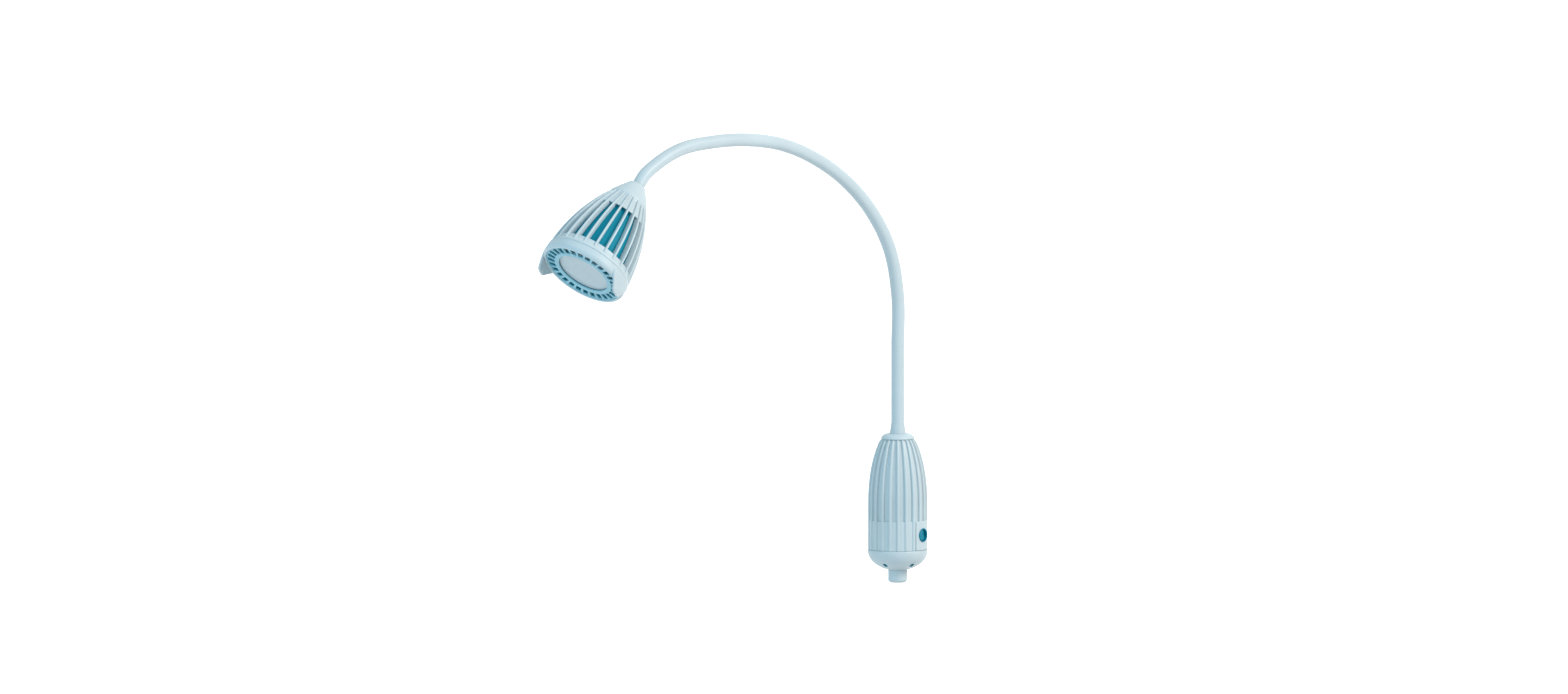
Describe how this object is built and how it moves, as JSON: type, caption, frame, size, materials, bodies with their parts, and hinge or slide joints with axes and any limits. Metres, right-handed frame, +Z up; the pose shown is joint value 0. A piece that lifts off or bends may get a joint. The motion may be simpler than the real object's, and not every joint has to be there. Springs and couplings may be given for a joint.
{
  "type": "surgical light",
  "caption": "Gooseneck examination light: vented ribbed bell head on a flexible neck, over a ribbed base housing with a round rocker switch and a mounting spigot.",
  "frame": {"origin": "on the spigot's axis at its lower end, in the mouth of the cable passage", "axes": "+Z up along the spigot, the neck and head reach out towards -Y, +X is sideways, across the plane of the neck"},
  "size_m": [0.1194, 0.6562, 0.601],
  "materials": {
    "pale_plastic": "fine satin moulded plastic",
    "shade_plastic": "fine satin moulded plastic",
    "neck_skin": "steel strip hose in a smooth satin plastic skin",
    "teal_dark": "satin",
    "teal_rocker": "gloss",
    "teal_liner": "satin paint",
    "teal_ring": "satin paint",
    "frosted_glass": "frosted",
    "bulb_glass": "clear",
    "mirror_metal": "polished",
    "steel": "zinc plated",
    "core_iron": "varnished laminations",
    "copper_coil": "taped copper winding",
    "brass": "turned",
    "ceramic": "unglazed",
    "black_rubber": "matt",
    "black_plastic": "matt",
    "dark_screw": "blackened",
    "lead_skin": "soft flexible jacket"
  },
  "bodies": {
    "base": {"spigot": "pale_plastic", "inlet_grommet": "black_rubber", "bottom_cap": "pale_plastic", "cap_screws": "dark_screw", "housing": "pale_plastic", "collar_ring": "pale_plastic", "neck_boot": "neck_skin", "neck_nut": "brass", "chassis": "steel", "transformer_core": "core_iron", "transformer_coil": "copper_coil", "terminal_block": "ceramic", "base_lead": "lead_skin", "switch_bezel": "teal_dark", "switch_body": "black_plastic", "switch_tabs": "brass", "neck_root": "neck_skin"},
    "rocker": {"switch_rocker": "teal_rocker"},
    "link_01": {"neck_link_01": "neck_skin", "lead_01": "lead_skin"},
    "link_02": {"neck_link_02": "neck_skin", "lead_02": "lead_skin"},
    "link_03": {"neck_link_03": "neck_skin", "lead_03": "lead_skin"},
    "link_04": {"neck_link_04": "neck_skin", "lead_04": "lead_skin"},
    "link_05": {"neck_link_05": "neck_skin", "lead_05": "lead_skin"},
    "link_06": {"neck_link_06": "neck_skin", "lead_06": "lead_skin"},
    "link_07": {"neck_link_07": "neck_skin", "lead_07": "lead_skin"},
    "link_08": {"neck_link_08": "neck_skin", "lead_08": "lead_skin"},
    "link_09": {"neck_link_09": "neck_skin", "lead_09": "lead_skin"},
    "link_10": {"neck_link_10": "neck_skin", "lead_10": "lead_skin"},
    "link_11": {"neck_link_11": "neck_skin", "lead_11": "lead_skin"},
    "head": {"neck_tip": "neck_skin", "shade": "shade_plastic", "end_nut": "brass", "heat_liner": "teal_liner", "socket_bracket": "steel", "bracket_screws": "steel", "lamp_socket": "ceramic", "lamp_bulb": "bulb_glass", "reflector": "mirror_metal", "head_lead": "lead_skin"},
    "front": {"bezel": "shade_plastic", "vent_ring": "teal_ring", "glass_gasket": "black_rubber", "front_glass": "frosted_glass", "glass_clips": "steel"}
  },
  "joints": [
    {"name": "switch_rock", "type": "hinge", "parent": "base", "child": "rocker", "pos_m": [0.03264, 0.00754, 0.063], "axis": [-0.225, 0.9744, 0], "range_deg": [0, 14]},
    {"name": "neck_side_01", "type": "hinge", "parent": "base", "child": "link_01", "pos_m": [0, 0, 0.244], "axis": [0, 1, 0], "range_deg": [-15, 15]},
    {"name": "neck_nod_02", "type": "hinge", "parent": "link_01", "child": "link_02", "pos_m": [0, 0, 0.3074], "axis": [1, 0, 0], "range_deg": [-20, 12]},
    {"name": "neck_side_03", "type": "hinge", "parent": "link_02", "child": "link_03", "pos_m": [0, 0, 0.3708], "axis": [0, 0.9936, 0.1132], "range_deg": [-15, 15]},
    {"name": "neck_nod_04", "type": "hinge", "parent": "link_03", "child": "link_04", "pos_m": [0, -0.01426, 0.43257], "axis": [1, 0, 0], "range_deg": [-20, 12]},
    {"name": "neck_side_05", "type": "hinge", "parent": "link_04", "child": "link_05", "pos_m": [0, -0.04879, 0.48575], "axis": [0, 0.7604, 0.6494], "range_deg": [-15, 15]},
    {"name": "neck_nod_06", "type": "hinge", "parent": "link_05", "child": "link_06", "pos_m": [0, -0.09591, 0.52817], "axis": [1, 0, 0], "range_deg": [-20, 12]},
    {"name": "neck_side_07", "type": "hinge", "parent": "link_06", "child": "link_07", "pos_m": [0, -0.15081, 0.55987], "axis": [0, 0.4226, 0.9063], "range_deg": [-15, 15]},
    {"name": "neck_nod_08", "type": "hinge", "parent": "link_07", "child": "link_08", "pos_m": [0, -0.21039, 0.58155], "axis": [1, 0, 0], "range_deg": [-20, 12]},
    {"name": "neck_side_09", "type": "hinge", "parent": "link_08", "child": "link_09", "pos_m": [0, -0.27301, 0.59147], "axis": [0, 0.0872, 0.9962], "range_deg": [-15, 15]},
    {"name": "neck_nod_10", "type": "hinge", "parent": "link_09", "child": "link_10", "pos_m": [0, -0.3364, 0.59258], "axis": [1, 0, 0], "range_deg": [-20, 12]},
    {"name": "neck_side_11", "type": "hinge", "parent": "link_10", "child": "link_11", "pos_m": [0, -0.39918, 0.58376], "axis": [0, -0.2419, 0.9703], "range_deg": [-15, 15]},
    {"name": "neck_nod_12", "type": "hinge", "parent": "link_11", "child": "head", "pos_m": [0, -0.45876, 0.56207], "axis": [1, 0, 0], "range_deg": [-20, 12]},
    {"name": "bezel_turn", "type": "hinge", "parent": "head", "child": "front", "pos_m": [0, -0.57564, 0.43452], "axis": [0, -0.6756, -0.7373], "range_deg": [0, 15]}
  ]
}
